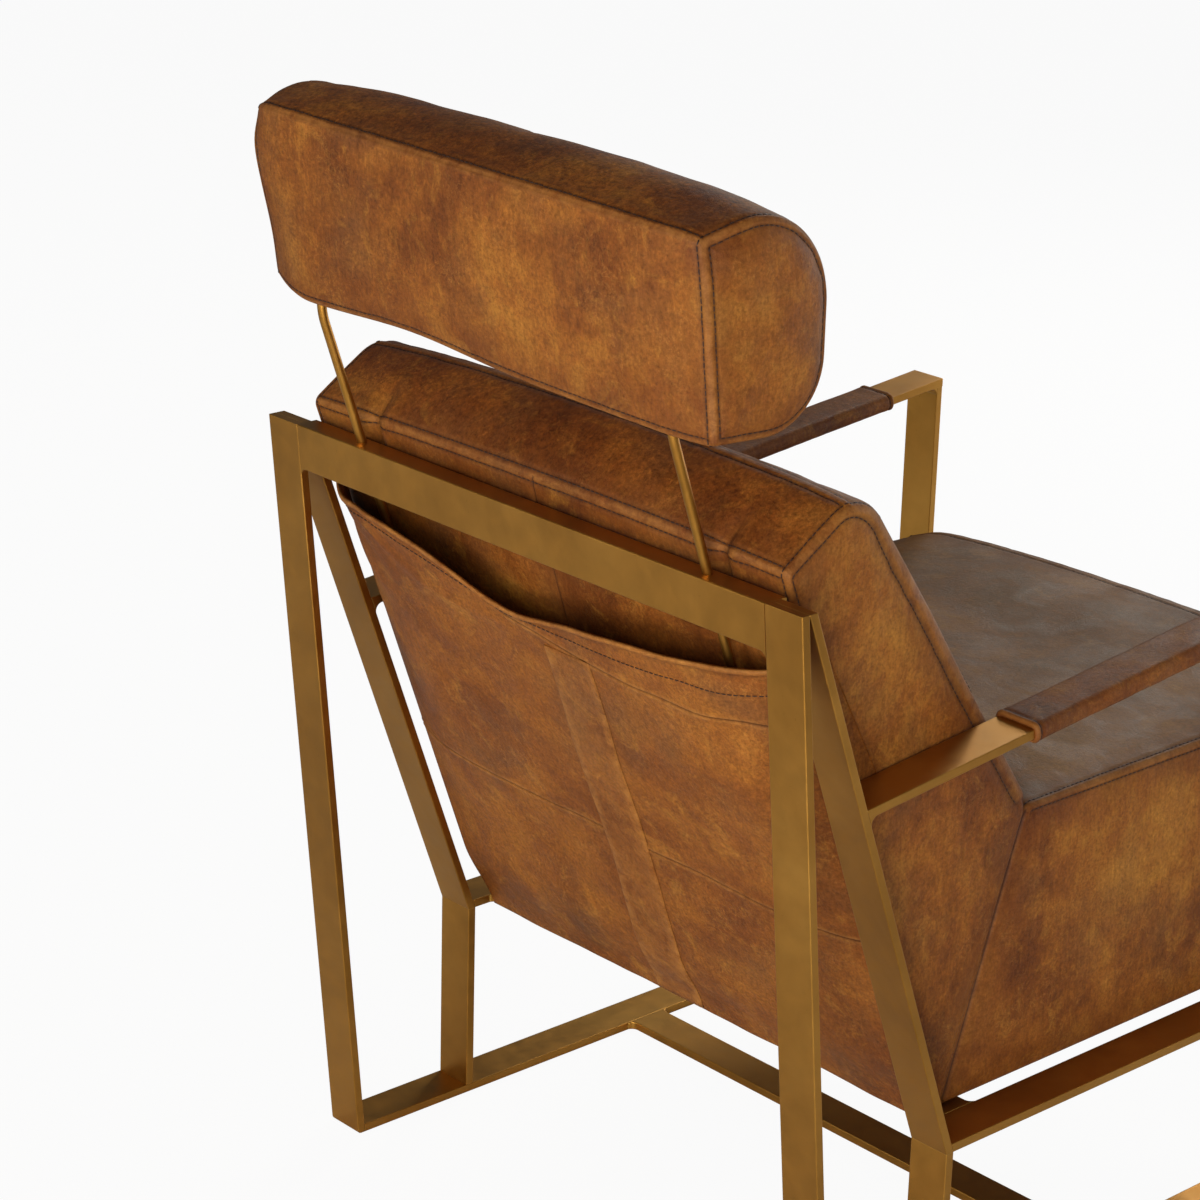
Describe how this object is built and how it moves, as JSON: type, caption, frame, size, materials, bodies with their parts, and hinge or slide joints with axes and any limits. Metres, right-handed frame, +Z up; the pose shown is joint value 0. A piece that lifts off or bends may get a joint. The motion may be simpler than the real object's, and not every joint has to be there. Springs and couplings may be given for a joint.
{
  "type": "accent chair",
  "caption": "Lounge chair with a flat bar frame in antique brass, deep leather seat and back cushions, a sagging leather rear pocket and a bolster headrest that slides on rods.",
  "frame": {"origin": "on the floor, midway between the sides and midway front to back", "axes": "+Z up, -Y out of the front of the seat, +X to the sitter's left"},
  "size_m": [0.6564, 0.877, 0.9993],
  "materials": {
    "antique_brass": "brushed, aged",
    "rod_brass": "satin, aged",
    "leather": "waxed, worn, mottled tan",
    "webbing": "woven",
    "plywood": "bare",
    "nylon": "matt",
    "fixing_steel": "zinc"
  },
  "bodies": {
    "chair": {"arm_bar_left": "antique_brass", "arm_bar_right": "antique_brass", "arm_wrap_left": "leather", "arm_wrap_right": "leather", "back_bar_left": "antique_brass", "back_bar_right": "antique_brass", "back_board": "plywood", "back_cushion": "leather", "back_pocket": "leather", "floor_crossbar": "antique_brass", "floor_rail_left": "antique_brass", "floor_rail_right": "antique_brass", "front_leg_left": "antique_brass", "front_leg_right": "antique_brass", "guide_block_left": "nylon", "guide_block_right": "nylon", "guide_screws": "fixing_steel", "lower_leg_left": "antique_brass", "lower_leg_right": "antique_brass", "rear_post_left": "antique_brass", "rear_post_right": "antique_brass", "seat_cushion": "leather", "seat_front_crossbar": "antique_brass", "seat_rail_left": "antique_brass", "seat_rail_right": "antique_brass", "seat_rear_crossbar": "antique_brass", "seat_webbing": "webbing", "top_bar": "antique_brass"},
    "headrest": {"headrest_cushion": "leather", "headrest_board": "plywood", "headrest_rod_left": "rod_brass", "headrest_rod_right": "rod_brass", "rod_clips": "fixing_steel", "clip_screws": "fixing_steel"}
  },
  "joints": [
    {"name": "headrest_slide", "type": "slide", "parent": "chair", "child": "headrest", "axis": [0, 0.3338, 0.9426], "range_m": [-0.04, 0.05]}
  ]
}
